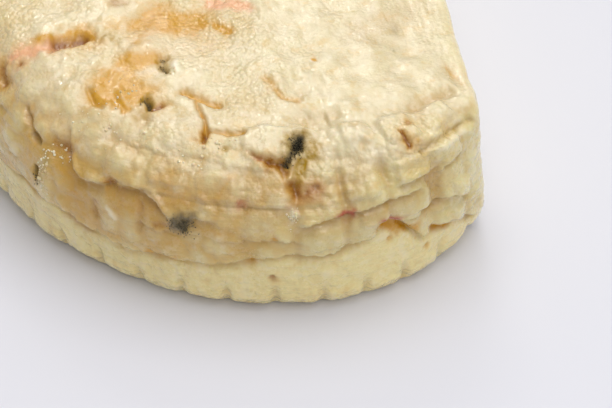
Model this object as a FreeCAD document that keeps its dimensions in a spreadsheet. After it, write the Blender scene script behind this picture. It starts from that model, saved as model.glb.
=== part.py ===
import FreeCAD, Part
import math
import os

import Sketcher

# Half wheel of a soft cheese pressed in a woven basket, in millimetres.
# It lies on its flat side: +Z up, the cut face looks along +X, the cut runs along Y,
# and the rind bulges towards -X. The origin is the centre of the box of its underside.

SIZES = {
    "length": 294.0,          # widest span along the cut's direction
    "width": 164.0,           # cut face to the crown of the rind
    "height": 50.0,           # table to top face
    "flank_radius": 100.5,    # plan radius of the rind either side of its crown
    "corner_radius": 66.0,    # plan radius where the rind runs into the cut
    "crown_turn": 32.3,       # degrees of turn in half the crown's arc
    "flank_turn": 55.5,       # degrees of turn in a flank's arc
    "band_height": 13.5,      # lower band, pressed in by the basket's foot ring
    "lip_overhang": 1.5,      # how far the upper mass hangs over the band
    "foot_round": 5.0,        # rounding of the underside's edge
    "shoulder_round": 24.0,   # soft rounding of the top edge along crown and flanks
    "corner_shoulder": 5.0,   # crisper rounding of the top edge at the cut
    "cut_edge_round": 2.5,    # rounding of the cut face's own edge
    "weave_pitch": 14.0,      # spacing of the basket's upright ribs
    "rib_radius": 5.0,        # section radius of an upright rib
    "rib_depth": 0.9,         # how deep a rib presses into the rind
    "rib_gap": 2.0,           # plain strip between the ribs' tops and the shoulder
}
NEAR = 1e-3                   # two places closer than this are the same place

doc = FreeCAD.newDocument("cheese_half_wheel")
sheet = doc.addObject("Spreadsheet::Sheet", "Sizes")
for row, (alias, value) in enumerate(SIZES.items(), start=1):
    sheet.set(f"A{row}", alias)
    sheet.set(f"B{row}", str(value))
    sheet.setAlias(f"B{row}", alias)
doc.recompute()


def size(alias):
    """The number that the sheet holds under this alias."""
    return float(sheet.get(alias))


cut_x = size("width") / 2


def rind_arcs(inset):
    """The three arcs of half the rind: crown, flank and corner, from the X axis to the cut.

    Each is (centre x, centre y, radius, first angle, last angle), in mm and radians. The crown's
    radius follows from the length, and the corner's last angle from the width. The rind is moved
    inwards by inset, and the cut face stays where it is.
    """
    flank = size("flank_radius") - inset
    corner = size("corner_radius") - inset
    half_length = size("length") / 2 - inset
    crown_end = math.radians(size("crown_turn"))
    flank_end = crown_end + math.radians(size("flank_turn"))
    to_flank = (half_length - corner - (flank - corner) * math.sin(flank_end)) / math.sin(crown_end)
    crown = flank + to_flank
    crown_x = crown + inset - cut_x
    flank_x = crown_x - to_flank * math.cos(crown_end)
    flank_y = -to_flank * math.sin(crown_end)
    corner_x = flank_x - (flank - corner) * math.cos(flank_end)
    corner_y = flank_y - (flank - corner) * math.sin(flank_end)
    corner_end = math.acos((corner_x - cut_x) / corner)
    return [
        (crown_x, 0.0, crown, math.pi, math.pi + crown_end),
        (flank_x, flank_y, flank, math.pi + crown_end, math.pi + flank_end),
        (corner_x, corner_y, corner, math.pi + flank_end, math.pi + corner_end),
    ]


def point_on(arc, angle):
    """The point at this angle on an arc's circle."""
    x, y, radius = arc[:3]
    return FreeCAD.Vector(x + radius * math.cos(angle), y + radius * math.sin(angle), 0)


def origin_plane(owner, role):
    """One of a body's own origin planes, by its role."""
    return next(item for item in owner.Origin.OriginFeatures if item.Role == role)


def flat_sketch(name, level_words):
    """An empty sketch in the body, lying level at a height bound to the sheet."""
    sketch = body.newObject("Sketcher::SketchObject", name)
    sketch.AttachmentSupport = [(origin_plane(body, "XY_Plane"), "")]
    sketch.MapMode = "FlatFace"
    sketch.setExpression("AttachmentOffset.Base.z", level_words)
    return sketch


def half_plan(name, inset, inset_words, level_words):
    """A closed, fully constrained sketch of half the plan: three tangent arcs and two lines."""
    sketch = flat_sketch(name, level_words)
    arcs = rind_arcs(inset)
    for x, y, radius, start, end in arcs:
        circle = Part.Circle(FreeCAD.Vector(x, y, 0), FreeCAD.Vector(0, 0, 1), radius)
        sketch.addGeometry(Part.ArcOfCircle(circle, start, end), False)
    crown, flank, corner = arcs
    near_end = point_on(corner, corner[4])
    middle = FreeCAD.Vector(cut_x, 0, 0)
    top_of_crown = point_on(crown, crown[3])
    sketch.addGeometry(Part.LineSegment(near_end, middle), False)
    sketch.addGeometry(Part.LineSegment(middle, top_of_crown), False)
    joins = [
        ("Tangent", 0, 2, 1, 1),
        ("Tangent", 1, 2, 2, 1),
        ("Coincident", 2, 2, 3, 1),
        ("Coincident", 3, 2, 4, 1),
        ("Coincident", 4, 2, 0, 1),
        ("Vertical", 3),
        ("PointOnObject", 4, 1, -1),
        ("PointOnObject", 4, 2, -1),
        ("PointOnObject", 0, 3, -1),
    ]
    for join in joins:
        sketch.addConstraint(Sketcher.Constraint(*join))
    driven = [
        ("flank", ("Radius", 1, flank[2]), f"Sizes.flank_radius - {inset_words}"),
        ("corner", ("Radius", 2, corner[2]), f"Sizes.corner_radius - {inset_words}"),
        ("crown_span", ("Angle", 0, crown[4] - crown[3]), "Sizes.crown_turn * 1 deg"),
        ("flank_span", ("Angle", 1, flank[4] - flank[3]), "Sizes.flank_turn * 1 deg"),
        ("cut_place", ("DistanceX", -1, 1, 3, 1, cut_x), "Sizes.width / 2"),
        ("crown_place", ("DistanceX", 0, 1, -1, 1, -top_of_crown.x), f"Sizes.width / 2 - {inset_words}"),
        ("corner_place", ("DistanceY", 2, 3, -1, 1, -corner[1]), "Sizes.length / 2 - Sizes.corner_radius"),
    ]
    for label, constraint, words in driven:
        index = sketch.addConstraint(Sketcher.Constraint(*constraint))
        sketch.renameConstraint(index, label)
        sketch.setExpression(f"Constraints.{label}", words)
    return sketch


def pad(name, sketch, length_words):
    """A pad of a sketch, its length bound to the sheet."""
    feature = body.newObject("PartDesign::Pad", name)
    feature.Profile = sketch
    feature.setExpression("Length", length_words)
    return feature


def rind_edges(shape, level):
    """Names of the rind's arc edges that lie wholly at this height."""
    names = []
    for index, edge in enumerate(shape.Edges, start=1):
        box = edge.BoundBox
        level_edge = abs(box.ZMin - level) < NEAR and abs(box.ZMax - level) < NEAR
        if level_edge and edge.Curve.TypeId == "Part::GeomCircle":
            names.append(f"Edge{index}")
    return names


# The two stacked slabs of curd: a lower band, and the upper mass that hangs over it by the lip.
# Half of each is drawn and padded, and both are mirrored about the middle of the wheel.
body = doc.addObject("PartDesign::Body", "PressedCurd")
body.Label = "pressed_curd"
band = pad("Band", half_plan("BandPlan", size("lip_overhang"), "Sizes.lip_overhang", "0 mm"),
           "Sizes.band_height")
mass = pad("Mass", half_plan("MassPlan", 0.0, "0", "Sizes.band_height * 1 mm"),
           "Sizes.height - Sizes.band_height")
whole = body.newObject("PartDesign::Mirrored", "Whole")
whole.Originals = [band, mass]
whole.MirrorPlane = (origin_plane(body, "XZ_Plane"), [""])
whole.Refine = True
body.Tip = whole
doc.recompute()

foot = body.newObject("PartDesign::Fillet", "Foot")
foot.Base = (whole, rind_edges(whole.Shape, 0.0))
foot.setExpression("Radius", "Sizes.foot_round")
doc.recompute()


def rib_centres(inset, first_step):
    """Where upright ribs stand round the rind, a pitch apart along its arcs and mirrored about X.

    first_step is the first rib's distance from the crown, in pitches. A rib's centre stands off
    the rind by its radius less its depth.
    """
    stand_off = size("rib_radius") - size("rib_depth")
    centres = []
    travelled = first_step * size("weave_pitch")
    for x, y, radius, start, end in rind_arcs(inset):
        arc_length = radius * (end - start)
        while travelled < arc_length - size("rib_radius"):
            centre = point_on((x, y, radius + stand_off), start + travelled / radius)
            centres.append(centre)
            if centre.y < -NEAR:
                centres.append(FreeCAD.Vector(centre.x, -centre.y, 0))
            travelled += size("weave_pitch")
        travelled -= arc_length
    return centres


def press_ribs(name, centres, level_words, rise_words):
    """A pocket of round upright ribs, cut upwards from a level. It must take some curd away."""
    before = body.Shape.Volume
    sketch = flat_sketch(name + "Plan", level_words)
    for index, centre in enumerate(centres):
        circle = Part.Circle(centre, FreeCAD.Vector(0, 0, 1), size("rib_radius"))
        sketch.addGeometry(circle, False)
        if index == 0:
            sketch.addConstraint(Sketcher.Constraint("Radius", 0, size("rib_radius")))
            sketch.setExpression("Constraints[0]", "Sizes.rib_radius")
        else:
            sketch.addConstraint(Sketcher.Constraint("Equal", 0, index))
        sketch.addConstraint(Sketcher.Constraint("DistanceX", index, 3, centre.x))
        sketch.addConstraint(Sketcher.Constraint("DistanceY", index, 3, centre.y))
    pocket = body.newObject("PartDesign::Pocket", name)
    pocket.Profile = sketch
    pocket.Reversed = True
    pocket.setExpression("Length", rise_words)
    body.Tip = pocket
    doc.recompute()
    if not pocket.Shape.Volume < before:
        raise RuntimeError(f"{name} takes no curd away")


# The basket's upright ribs: one course round the band, and one round the mass, half a pitch on.
press_ribs("BandRibs", rib_centres(size("lip_overhang"), 0.0), "0 mm", "Sizes.band_height")
press_ribs("MassRibs", rib_centres(0.0, 0.5), "Sizes.band_height * 1 mm",
           "Sizes.height - Sizes.band_height - Sizes.shoulder_round - Sizes.rib_gap")


def turn_from_cut(end):
    """How far round the rind a vertex lies, seen from the middle of the cut."""
    return math.atan2(end.Y, cut_x - end.X)


# The top edge slumps into a wide round shoulder, which tightens along each corner to the cut.
shoulder = doc.addObject("Part::Fillet", "Shoulder")
shoulder.Base = body
rounding = []
for name in rind_edges(body.Shape, size("height")):
    ends = sorted(body.Shape.getElement(name).Vertexes, key=turn_from_cut)
    at_cut = [abs(end.X - cut_x) < NEAR for end in ends]
    pair = [size("corner_shoulder") if cut else size("shoulder_round") for cut in at_cut]
    rounding.append((int(name.removeprefix("Edge")), *pair))
shoulder.Edges = rounding
doc.recompute()

# The knife's edge has softened all round the cut face, down to the band.
half_wheel = doc.addObject("Part::Fillet", "HalfWheel")
half_wheel.Label = "cheese_half_wheel"
half_wheel.Base = shoulder
half_wheel.Placement = FreeCAD.Placement()
rounding = []
for index, edge in enumerate(shoulder.Shape.Edges, start=1):
    on_cut = abs(edge.BoundBox.XMin - cut_x) < NEAR
    above_band = edge.BoundBox.ZMax > size("band_height") + NEAR
    if on_cut and above_band:
        rounding.append((index, size("cut_edge_round"), size("cut_edge_round")))
half_wheel.Edges = rounding
doc.recompute()

failed = [item.Name for item in doc.Objects if {"Invalid", "Error"} & set(item.State)]
if failed:
    raise RuntimeError(f"objects that failed: {failed}")
os.makedirs("parts", exist_ok=True)
for node in (half_wheel,):
    if node.Shape.isNull() or not node.Shape.isValid() or len(node.Shape.Solids) != 1:
        raise RuntimeError(f"{node.Label} is not one valid solid")
    node.Shape.exportStep(f"parts/{node.Label}.step")
    box = node.Shape.BoundBox
    print(f"{node.Label}: {box.XLength:.2f} x {box.YLength:.2f} x {box.ZLength:.2f} mm,"
          f" {node.Shape.Volume / 1000:.0f} cm3")
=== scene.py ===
import bpy
import numpy as np
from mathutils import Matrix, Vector


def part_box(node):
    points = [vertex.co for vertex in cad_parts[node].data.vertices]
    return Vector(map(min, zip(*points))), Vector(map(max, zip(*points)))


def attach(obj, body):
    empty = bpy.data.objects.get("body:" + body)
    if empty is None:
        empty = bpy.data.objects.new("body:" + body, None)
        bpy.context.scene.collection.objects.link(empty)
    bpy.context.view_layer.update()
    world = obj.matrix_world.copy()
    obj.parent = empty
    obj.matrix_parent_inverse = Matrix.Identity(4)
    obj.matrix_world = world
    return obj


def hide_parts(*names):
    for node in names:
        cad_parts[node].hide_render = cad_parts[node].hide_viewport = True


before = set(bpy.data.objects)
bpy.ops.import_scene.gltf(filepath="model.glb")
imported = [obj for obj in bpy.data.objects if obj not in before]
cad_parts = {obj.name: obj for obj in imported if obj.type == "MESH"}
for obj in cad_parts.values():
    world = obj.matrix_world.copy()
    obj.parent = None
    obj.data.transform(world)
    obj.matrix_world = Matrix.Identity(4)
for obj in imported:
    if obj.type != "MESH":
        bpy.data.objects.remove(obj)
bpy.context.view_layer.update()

# ---------------------------------------------------------------------------------------------
# The half wheel: one piece of soft, moist cheese, pressed in a woven basket, cut in two with a
# knife, and left lying flat until it slumped, split, wept whey and grew mould. Its print, splits,
# hollows and lumps are one relief on a smooth half wheel of the CAD piece's size.
# ---------------------------------------------------------------------------------------------
MM = 0.001
NODE = "cheese_half_wheel"
low, high = (np.array(corner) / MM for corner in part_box(NODE))
LENGTH, HEIGHT = high[1] - low[1], high[2]
CUT_X, CROWN_X = high[0], low[0]
FLANK_RADIUS, CORNER_RADIUS, KNIFE_RADIUS = 100.5, 66.0, 8.0
CROWN_TURN, FLANK_TURN = np.radians(32.3), np.radians(55.5)
FOOT_ROUND, CORNER_FOOT, CUT_FOOT = 6.5, 5.0, 3.0
SHOULDER_ROUND, CORNER_SHOULDER, CUT_SHOULDER = 24.0, 8.0, 2.5
SHOULDER_FROM, SHOULDER_TO, CORNER_REACH = 6.0, 66.0, 13.0
LEAN, CUT_INSET = 5.2, 1.4


def plan_arcs():
    """The rind's arcs from the near end of the cut round to the far end, as rows of
    (centre x, centre y, radius, start angle, turn). The angle is that of the outward normal, and
    it falls along the way. The crown's radius follows from the length, as in the solid, and a
    small arc at each end turns the rind into the straight cut."""
    half = LENGTH / 2
    flank_end = CROWN_TURN + FLANK_TURN
    drop = (half - CORNER_RADIUS - (FLANK_RADIUS - CORNER_RADIUS) * np.sin(flank_end))
    drop = drop / np.sin(CROWN_TURN)
    crown = FLANK_RADIUS + drop
    crown_x = crown + CROWN_X
    flank_x = crown_x - drop * np.cos(CROWN_TURN)
    flank_y = -drop * np.sin(CROWN_TURN)
    corner_x = flank_x - (FLANK_RADIUS - CORNER_RADIUS) * np.cos(flank_end)
    corner_y = flank_y - (FLANK_RADIUS - CORNER_RADIUS) * np.sin(flank_end)
    knife_x = CUT_X - KNIFE_RADIUS
    knife_end = np.arccos((corner_x - knife_x) / (CORNER_RADIUS - KNIFE_RADIUS))
    knife_y = corner_y - (CORNER_RADIUS - KNIFE_RADIUS) * np.sin(knife_end)
    near = [
        (knife_x, knife_y, KNIFE_RADIUS, 2 * np.pi, knife_end - np.pi),
        (corner_x, corner_y, CORNER_RADIUS, np.pi + knife_end, flank_end - knife_end),
        (flank_x, flank_y, FLANK_RADIUS, np.pi + flank_end, -FLANK_TURN),
        (crown_x, 0.0, crown, np.pi + CROWN_TURN, -2 * CROWN_TURN),
    ]
    far = [(x, -y, r, np.pi - (a + t - np.pi), t) for x, y, r, a, t in near[2::-1]]
    return np.array(near + far)


ARCS = plan_arcs()
ARC_LENGTHS = ARCS[:, 2] * -ARCS[:, 4]
RIND = ARC_LENGTHS.sum()
CUT_HALF = -ARCS[0, 1]
ROUND = RIND + 2 * CUT_HALF


def plan(s):
    """Point and outward normal of the plan at distance s round it: first along the arcs of the
    rind from the cut's near end, each point being centre + radius * normal, then straight back
    along the cut."""
    starts = np.concatenate([[0], np.cumsum(ARC_LENGTHS)])
    index = np.clip(np.searchsorted(starts, s, side="right") - 1, 0, len(ARCS) - 1)
    x, y, radius, angle = ARCS[index].T[:4]
    angle = angle - np.minimum(s - starts[index], ARC_LENGTHS[index]) / radius
    normal = np.stack([np.cos(angle), np.sin(angle)], -1)
    point = np.stack([x, y], -1) + radius[..., None] * normal
    along_cut = np.maximum(s - RIND, 0)
    point[..., 1] -= along_cut
    return point, normal


def ease(x, low_edge, high_edge):
    """Smooth step from 0 at low_edge to 1 at high_edge: 3t^2 - 2t^3."""
    t = np.clip((x - low_edge) / (high_edge - low_edge), 0, 1)
    return t * t * (3 - 2 * t)


def bell(distance, width):
    """A soft bump: 1 on the line, 0.37 at width away, and 0 further off: exp(-(d/w)^2)."""
    return np.exp(-(distance / width) ** 2)


def spaced(runs):
    """Distances from 0 through runs of (length, step): each run is cut into equal steps."""
    marks = [np.zeros(1)]
    for length, step in runs:
        marks.append(marks[-1][-1] + np.linspace(0, length, round(length / step) + 1)[1:])
    return np.concatenate(marks)


# The near corner carries the finest grid, because its weave print and splits are the deepest.
# The flat rings of the underside and the top close in to a pole near the middle.
NEAR_RUN, NEAR_STEP, FAR_STEP, CUT_STEP = 176.0, 0.5, 2.2, 3.4
around = spaced([(NEAR_RUN, NEAR_STEP), (RIND - NEAR_RUN, FAR_STEP), (2 * CUT_HALF, CUT_STEP)])[:-1]
UNDER_ROWS, SIDE_ROWS, TOP_ROWS = 6, 104, 60
TOP_GROWTH = 1.026
UNDER_START, TOP_END = 0.05, 0.985  # shares of the way between the pole and the edge
POLE = np.array([20.0, 0.0])


def section(s, rise):
    """Inset from the plan and height at a share of the way up the side. The section is a quarter
    circle at the foot, an upright wall and a quarter circle at the shoulder, walked at an even
    pace. The radii tighten along the corners towards the cut."""
    from_cut = np.minimum(s, RIND - s)
    wide = ease(from_cut, SHOULDER_FROM, SHOULDER_TO)
    shoulder = CORNER_SHOULDER + (SHOULDER_ROUND - CORNER_SHOULDER) * wide
    shoulder = np.where(from_cut < 0, CUT_SHOULDER, shoulder)
    on_cut = ease(-from_cut, -8, 0)
    shoulder = shoulder + (CUT_SHOULDER - shoulder) * on_cut
    from_corner = np.minimum(np.abs(from_cut), ROUND - s)
    foot = FOOT_ROUND + (CUT_FOOT - FOOT_ROUND) * on_cut + CORNER_FOOT * bell(from_corner, CORNER_REACH)
    quarter = np.pi / 2
    wall = HEIGHT - foot - shoulder
    way = rise * (quarter * (foot + shoulder) + wall)
    foot_angle = np.clip(way / foot, 0, quarter)
    climb = np.clip(way - quarter * foot, 0, wall)
    top_angle = np.clip((way - quarter * foot - wall) / shoulder, 0, quarter)
    inset = foot * (1 - np.sin(foot_angle)) + shoulder * (1 - np.cos(top_angle))
    height = foot * (1 - np.cos(foot_angle)) + climb + shoulder * np.sin(top_angle)
    return inset, height


def base_grid():
    """The smooth half wheel as rows of rings, from the pole of the underside to that of the top.
    Side rings are plan point - inset * normal. Flat rings shrink in a straight line to the pole,
    and their steps grow evenly on the way. Also each point's distance round the plan, and its
    distance up the section from the edge of the underside."""
    point, normal = plan(around)
    rise = np.linspace(0, 1, SIDE_ROWS)[:, None]
    inset, height = section(around[None, :], rise)
    flat = point[None] - inset[..., None] * normal[None]
    side = np.concatenate([flat, height[..., None]], -1)
    shrink = np.linspace(UNDER_START, 1, UNDER_ROWS + 1)[:-1, None, None]
    under_xy = POLE + (side[:1, :, :2] - POLE) * shrink
    under = np.concatenate([under_xy, np.zeros_like(under_xy[..., :1])], -1)
    growth = TOP_GROWTH ** np.arange(1, TOP_ROWS + 1)
    inwards = (np.cumsum(growth) / growth.sum() * TOP_END)[:, None, None]
    top_xy = POLE + (side[-1:, :, :2] - POLE) * (1 - inwards)
    top = np.concatenate([top_xy, np.full_like(top_xy[..., :1], HEIGHT)], -1)
    rings = np.concatenate([under, side, top])
    steps = np.linalg.norm(np.diff(rings, axis=0), axis=-1)
    way = np.concatenate([np.zeros_like(steps[:1]), np.cumsum(steps, 0)])
    lean = CUT_INSET + LEAN * ease(rings[..., 2], 2, HEIGHT + 6)
    rings[..., 0] -= lean * ease(rings[..., 0], 20, CUT_X)
    return rings, np.broadcast_to(around, way.shape), way - way[UNDER_ROWS]


def grid_faces(rows, columns):
    """Quads of a grid of rings that closes round each ring, and a fan at each pole. The two pole
    vertices come after the grid's own."""
    index = np.arange(rows * columns).reshape(rows, columns)
    after = np.roll(index, -1, 1)
    quads = np.stack([index[:-1], index[1:], after[1:], after[:-1]], -1).reshape(-1, 4)
    bottom = np.stack([np.full(columns, rows * columns), index[0], after[0]], -1)
    top = np.stack([np.full(columns, rows * columns + 1), after[-1], index[-1]], -1)
    return quads, np.concatenate([bottom, top])


def grid_normals(grid):
    """Outward normals of a closed grid: the cross product of the steps along rows and rings."""
    along = np.roll(grid, -1, 1) - np.roll(grid, 1, 1)
    up = np.gradient(grid, axis=0)
    normal = np.cross(up, along)
    return normal / np.maximum(np.linalg.norm(normal, axis=-1, keepdims=True), 1e-9)


def lattice(cells, seed):
    """A fixed random number from 0 to 1 for each whole-number cell (..., 3), by mixing its
    coordinates with large odd numbers and folding the bits."""
    mixed = (cells * np.array([73856093, 19349663, 83492791])).sum(-1) + seed * 2654435761
    mixed = (mixed ^ (mixed >> 13)) * 1274126177
    mixed = mixed ^ (mixed >> 16)
    return (mixed & 0xFFFFFF) / 0xFFFFFF


def noise(where, scale, seed):
    """Smooth noise from -1 to 1 with lumps about scale mm across: the eight corners' random
    numbers of each cell, mixed by 3t^2 - 2t^3 along each axis."""
    spot = where / scale
    cell = np.floor(spot).astype(np.int64)
    t = spot - cell
    t = t * t * (3 - 2 * t)
    total = np.zeros(where.shape[:-1])
    for corner in np.ndindex(2, 2, 2):
        step = np.array(corner)
        weight = np.where(step == 1, t, 1 - t).prod(-1)
        total += weight * lattice(cell + step, seed)
    return 2 * total - 1


def grains(where, scale, seed):
    """Rounded grains about scale mm across: 1 at the middle of each grain and 0 halfway to its
    neighbour, from the distance to the nearest of the points scattered one to a cell."""
    spot = where / scale
    cell = np.floor(spot).astype(np.int64)
    nearest = np.full(where.shape[:-1], 9.0)
    for corner in np.ndindex(3, 3, 3):
        near = cell + np.array(corner) - 1
        seat = np.stack([lattice(near, seed + axis) for axis in range(3)], -1)
        nearest = np.minimum(nearest, np.linalg.norm(near + seat - spot, axis=-1))
    return 1 - np.clip(nearest / 0.75, 0, 1) ** 2


def off_line(where, line):
    """Distance in mm from each point to a chain of straight pieces through the places."""
    line = np.array(line, float)
    if len(line) == 1:
        return np.linalg.norm(where - line[0], axis=-1)
    best = np.full(where.shape[:-1], 1e9)
    for start, end in zip(line[:-1], line[1:]):
        run = end - start
        t = np.clip(((where - start) @ run) / (run @ run), 0, 1)
        best = np.minimum(best, np.linalg.norm(where - start - t[..., None] * run, axis=-1))
    return best


# The basket left upright grooves a rib's pitch apart on the upper mass, and a looser scallop
# round the band. Its weave left level courses, and the joint of its foot ring left a lip. All
# places round the rind and up the section are in mm from the cut's near end and from the foot.
RIB_PITCH, FIRST_RIB, RIB_WIDTH, RIB_DEPTH = 14.4, 12.0, 1.6, 0.8
COURSE_PITCH, COURSE_DROP = 10.8, 1.15
NOTCH_PITCH, FIRST_NOTCH, NOTCH_WIDTH, NOTCH_DEPTH = 13.3, 9.0, 1.4, 1.35
LAYER_PITCH, LAYER_DEPTH = 3.1, 0.34
BAND_INSET, LIP_UNDERCUT = 1.6, 2.4
# The lip's line: (place round the rind, height up the section).
LIP = np.array([(0, 17), (9, 18), (19, 22), (30, 22), (38, 32.5), (44, 33.4), (48, 29), (59, 27),
                (71, 27.8), (84, 24), (94, 22), (106, 22), (117, 20.7), (132, 22), (146, 24.5),
                (158, 24.5), (200, 20), (300, 18), (400, 23), (470, 17), (534, 20)])
# Lower edges of the sheets of curd that split away from the mass: (drop, recovery, places).
SHEETS = [
    (1.8, 3.0, [(30, 41), (42, 41.2), (51, 39.8), (62, 38.6), (68, 37)]),
    (2.0, 5.0, [(104, 36.5), (108, 40), (113, 42), (120, 41.5), (127, 39.4), (132, 38.8), (135, 40.7),
                (138, 45), (140, 50)]),
    (1.5, 2.4, [(23, 44.5), (30, 44.8), (37, 44.7)]),
    (1.3, 2.4, [(12, 31), (22, 32.5), (30, 33)]),
    (1.3, 3.0, [(92, 37.4), (96, 37.7), (100, 36.5)]),
]

smooth_grid, around_grid, way_grid = base_grid()
normals = grid_normals(smooth_grid)
# A fine raggedness of half a millimetre, one value for each axis, keeps edges from running true.
wobble = [0.5 * noise(smooth_grid, 4.0, 41 + k) + 0.22 * noise(smooth_grid, 1.7, 51 + k)
          for k in range(3)]
ragged = smooth_grid + np.stack(wobble, -1)


def sheet_edge(s, way, places, drop, recovery):
    """Step down just below an edge that runs round the rind: -drop * exp(-below / recovery),
    with a slight swell on the edge itself, faded out beyond the first and last place."""
    where, level = np.array(places, float).T
    below = np.interp(s, where, level) + 0.5 * wobble[0] + 0.5 * wobble[1] - way
    fade = ease(s, where[0] - 2, where[0] + 2) * ease(-s, -where[-1] - 2, -where[-1] + 2)
    step = ease(below, -0.35, 0.35) * np.exp(-np.maximum(below, 0) / recovery)
    return fade * drop * (0.3 * bell(below + 1.0, 1.0) - step)


def pressed_print(place, s, way):
    """How far the basket's print stands off the smooth half wheel, in mm, outwards positive, and
    how deep its sharp hollows are. It is the sum of the upright grooves, the courses, the
    split sheets, the band with its lip and the scallop of its foot. It fades out on the top and
    at the cut."""
    fade = ease(64 - way, 0, 15) * ease(np.minimum(s, RIND - s), -2, 3)
    wander = noise(place, 16, 11)
    crisp = 0.4 + 0.9 * ease(95 - np.minimum(s, RIND - s), 0, 35)
    ragged_way = way + 1.4 * wander + 0.5 * noise(place, 5, 15) + 0.3 * wobble[0]
    # the lip, and the band set back beneath it
    lip = np.interp(s, *LIP.T) + 0.9 * noise(place, 8, 12) + 0.45 * noise(place, 2.6, 13)
    below_lip = lip - way
    band = ease(below_lip, -0.35, 0.45)
    undercut = band * bell(np.maximum(below_lip - 0.9, 0), 1.8) * (0.6 + 0.4 * noise(place, 10, 21))
    # upright grooves on the mass
    rib_way = (s - FIRST_RIB) / RIB_PITCH + 0.06 * wander
    from_rib = np.abs(rib_way - np.round(rib_way)) * RIB_PITCH
    rib_strength = 0.3 + 0.7 * ease(noise(place, 12, 14), -0.5, 0.4)
    ribs = RIB_DEPTH * crisp * bell(from_rib, RIB_WIDTH) * rib_strength * (1 - band)
    ribs = ribs * (0.4 + 0.6 * ease(60 - way, 0, 12))  # fainter where the shoulder turns over
    swell = 0.2 * crisp * np.cos(2 * np.pi * (rib_way - 0.5)) * (1 - band)
    # courses: each overhangs the one below
    course = ragged_way / COURSE_PITCH
    under_course = (np.ceil(course) - course) * COURSE_PITCH
    course_strength = ease(noise(place, 14, 16), -0.3, 0.5)
    courses = COURSE_DROP * np.exp(-under_course / 1.9) * course_strength * (1 - band)
    courses = courses * (0.4 + 0.7 * crisp) * ease(COURSE_PITCH - under_course, 0, 0.8)
    # thin layers within the courses
    layer = (way + 1.3 * noise(place, 11, 17) + 0.5 * wobble[1]) / LAYER_PITCH
    layer_strength = ease(noise(place, 9, 19), -0.2, 0.5)
    layers = LAYER_DEPTH * (0.5 + 0.5 * crisp) * (0.5 - (layer - np.floor(layer))) * layer_strength
    # the scallop of the foot
    notch_way = (s - FIRST_NOTCH) / NOTCH_PITCH + 0.05 * noise(place, 30, 20)
    from_notch = np.abs(notch_way - np.round(notch_way)) * NOTCH_PITCH
    low_down = ease(16 - way, 0, 6.5) * ease(way, -2, 4)
    notches = low_down * (NOTCH_DEPTH * bell(from_notch, NOTCH_WIDTH) - 0.3)
    split = sum(sheet_edge(s, way, places, drop, recovery) for drop, recovery, places in SHEETS)
    hollow = LIP_UNDERCUT * undercut + ribs + courses
    height = swell + layers + split - BAND_INSET * band - hollow - notches
    return fade * height, fade * (hollow + np.maximum(-split, 0) + 0.4 * np.maximum(notches, 0))


relief, sunk = pressed_print(smooth_grid, around_grid, way_grid)
on_cut = ease(smooth_grid[..., 0], CUT_X - LEAN - 6, CUT_X - LEAN)
on_cut = on_cut * ease(RIND / 2 - np.abs(around_grid - RIND / 2), 9, -1)
on_band = ease(np.interp(around_grid, *LIP.T) - way_grid, -3, 3)
upper = ease(way_grid, 40, 54)
below_top = ease(-way_grid, -66, -50)
# The soft mass sagged in waves and lumps. The curd shows in it as lumps and grains, and its skin
# dried in fine wrinkles. Each is (how far across, how far proud) in mm.
SAG, BULGE, LUMP, CURD_LUMP, CURD_GRAIN, WRINKLE = (
    (24, 0.8), (11, 0.75), (5.5, 0.55), (6.5, 0.75), (2.4, 0.42), (3.4, 0.16))
lumps = BULGE[1] * noise(smooth_grid, BULGE[0], 32) + LUMP[1] * noise(smooth_grid, LUMP[0], 33)
lumps = (lumps + 0.4 * wobble[2]) * (0.45 + 0.55 * upper)
slump = SAG[1] * noise(smooth_grid, SAG[0], 31) + lumps
grainy = ease(noise(smooth_grid, 15, 36), -0.35, 0.4) * (1 - 0.8 * on_cut)
curd = CURD_GRAIN[1] * (grains(ragged, CURD_GRAIN[0], 35) - 0.5) * grainy
wrinkle = 1 - 2 * np.abs(noise(ragged * np.array([0.35, 1.0, 0.6]), WRINKLE[0], 37))
wrinkle = wrinkle * ease(noise(smooth_grid, 13, 38), -0.3, 0.5) * ease(way_grid, 40, 60)
curds = grains(ragged, CURD_LUMP[0], 39)
lumpy = (1 - on_cut) * (1 - 0.75 * on_band) * (0.3 + 0.7 * below_top)
relief = relief + CURD_LUMP[1] * (curds - 0.5) * lumpy
relief = relief + slump * (1 - 0.6 * on_cut) + curd + WRINKLE[1] * wrinkle * (1 - on_cut)

# Whole bricks of the print that stand proud or sank, as soft boxes on the surface:
# (s, way, half length, half height, how proud).
BRICKS = [
    (79, 61, 7.4, 4.8, 0.55), (31, 48.2, 6.4, 3.4, 1.2), (49, 48, 6.0, 4.4, 0.9),
    (14, 33.5, 4.0, 3.6, 1.3), (15.5, 47.5, 5.0, 3.6, 0.8), (59, 68, 5.6, 3.0, -1.0),
    (31, 37.5, 5.4, 4.0, 0.6), (59, 33, 6.2, 3.6, 0.6), (46, 37.5, 5.0, 2.6, 0.7),
    (16, 24, 6.5, 3.4, 0.8), (30, 60, 6.5, 4.5, 0.9), (45, 62, 6.5, 4.0, 0.8),
    (15, 59, 6.0, 4.0, 0.8), (92, 47, 6.0, 4.0, 0.7), (107, 49, 6.0, 4.0, 0.8),
    (120, 47, 6.0, 4.0, 0.8),
]
for s_at, way_at, half_length, half_height, proud in BRICKS:
    across = np.abs(around_grid + 0.8 * wobble[0] - s_at) / half_length
    up = np.abs(way_grid + 0.8 * wobble[1] - way_at) / half_height
    relief = relief + proud * ease(1.1 - (across ** 6 + up ** 6) ** (1 / 6), 0, 0.34)

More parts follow.
